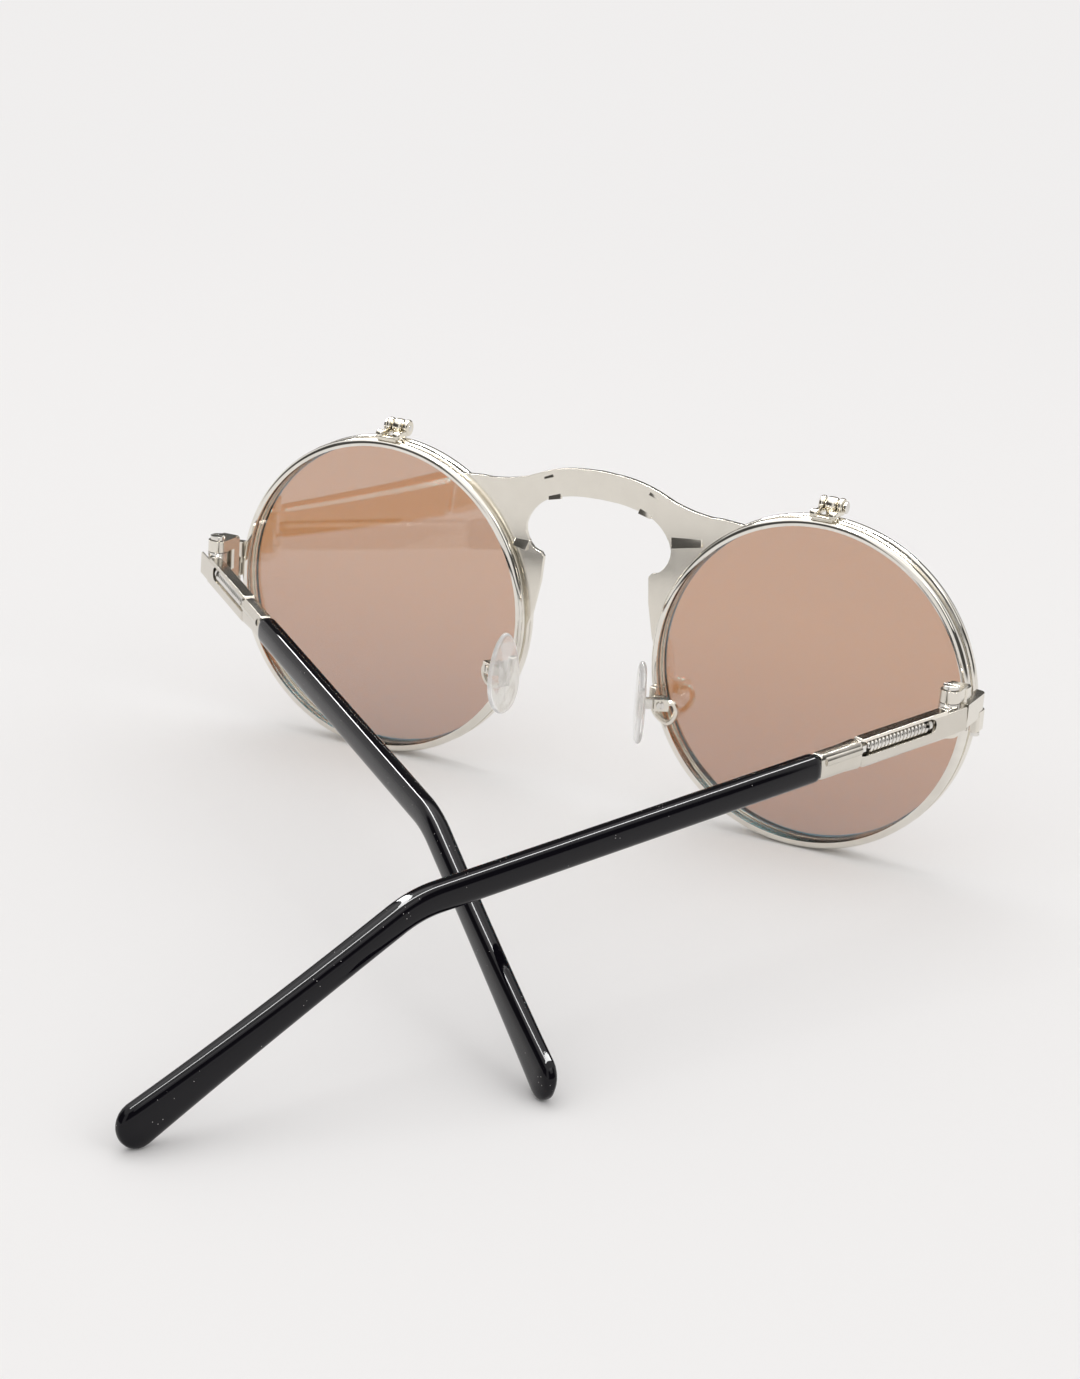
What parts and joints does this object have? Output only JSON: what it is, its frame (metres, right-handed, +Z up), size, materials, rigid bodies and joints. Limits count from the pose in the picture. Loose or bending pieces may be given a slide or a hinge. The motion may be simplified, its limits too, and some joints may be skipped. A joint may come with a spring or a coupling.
{
  "type": "flip-up round sunglasses",
  "caption": "Round metal sunglasses with a keyhole bridge, mirrored flip-up lenses over clear ones, screw-hung nose pads and spring-loaded folding temples.",
  "frame": {"origin": "centre of the bounding box, at the level the rims and temple tips stand on, with the temples folded as stored", "axes": "+Z up, -Y the way the lenses face, +X towards the wearer's left"},
  "size_m": [0.1264, 0.1436, 0.0531],
  "materials": {
    "silver_plate": "polished, warm silver",
    "polished_rim": "mirror polished",
    "spring_steel": "bright steel",
    "clear_lens": "clear, hard coated",
    "rose_mirror": "rose mirror coating over a brown tint",
    "clear_pad": "clear silicone",
    "black_sleeve": "polished black"
  },
  "bodies": {
    "front": {"front_frame": "silver_plate", "left_eyewire": "polished_rim", "left_clear_lens": "clear_lens", "left_flip_hinge_base": "silver_plate", "left_flip_hinge_pin": "spring_steel", "left_end_piece": "silver_plate", "left_hinge_screw": "spring_steel", "left_rim_screw": "spring_steel", "left_pad_arm": "silver_plate", "left_pad_screw": "spring_steel", "right_eyewire": "polished_rim", "right_clear_lens": "clear_lens", "right_flip_hinge_base": "silver_plate", "right_flip_hinge_pin": "spring_steel", "right_end_piece": "silver_plate", "right_hinge_screw": "spring_steel", "right_rim_screw": "spring_steel", "right_pad_arm": "silver_plate", "right_pad_screw": "spring_steel"},
    "left_flip": {"left_flip_rim": "polished_rim", "left_flip_lens": "rose_mirror"},
    "left_pad": {"left_nose_pad": "clear_pad"},
    "left_hinge": {"left_hinge_carriage": "spring_steel", "left_spring_nut": "spring_steel"},
    "left_temple": {"left_temple_front": "silver_plate", "left_ferrule": "silver_plate", "left_core_wire": "spring_steel", "left_temple_sleeve": "black_sleeve", "left_spring_seat": "spring_steel", "left_coil_spring": "spring_steel"},
    "right_flip": {"right_flip_rim": "polished_rim", "right_flip_lens": "rose_mirror"},
    "right_pad": {"right_nose_pad": "clear_pad"},
    "right_hinge": {"right_hinge_carriage": "spring_steel", "right_spring_nut": "spring_steel"},
    "right_temple": {"right_temple_front": "silver_plate", "right_ferrule": "silver_plate", "right_core_wire": "spring_steel", "right_temple_sleeve": "black_sleeve", "right_spring_seat": "spring_steel", "right_coil_spring": "spring_steel"}
  },
  "joints": [
    {"name": "left_flip_hinge", "type": "hinge", "parent": "front", "child": "left_flip", "pos_m": [0.03594, -0.07055, 0.0518], "axis": [-1, 0, 0], "range_deg": [0, 95]},
    {"name": "left_fold", "type": "hinge", "parent": "front", "child": "left_hinge", "pos_m": [0.06054, -0.05833, 0.0285], "axis": [0, 0, -1], "range_deg": [-40.4, 49.6]},
    {"name": "left_flex", "type": "slide", "parent": "left_hinge", "child": "left_temple", "axis": [-0.7599, 0.6467, -0.0665], "range_m": [0, 0.0013], "stiffness_N_per_m": 2000, "springref_m": -0.002, "deforming": ["left_coil_spring"]},
    {"name": "left_pad_tilt", "type": "hinge", "parent": "front", "child": "left_pad", "pos_m": [0.01399, -0.06393, 0.0187], "axis": [-0.5, -0.866, 0], "range_deg": [-8, 8]},
    {"name": "right_flip_hinge", "type": "hinge", "parent": "front", "child": "right_flip", "pos_m": [-0.03596, -0.07055, 0.0518], "axis": [-1, 0, 0], "range_deg": [0, 95]},
    {"name": "right_fold", "type": "hinge", "parent": "front", "child": "right_hinge", "pos_m": [-0.06056, -0.05833, 0.0285], "axis": [0, 0, 1], "range_deg": [-10, 22]},
    {"name": "right_flex", "type": "slide", "parent": "right_hinge", "child": "right_temple", "axis": [0.3738, 0.9251, -0.0665], "range_m": [0, 0.0013], "stiffness_N_per_m": 2000, "springref_m": -0.002, "deforming": ["right_coil_spring"]},
    {"name": "right_pad_tilt", "type": "hinge", "parent": "front", "child": "right_pad", "pos_m": [-0.01401, -0.06393, 0.0187], "axis": [-0.5, 0.866, 0], "range_deg": [-8, 8]}
  ]
}
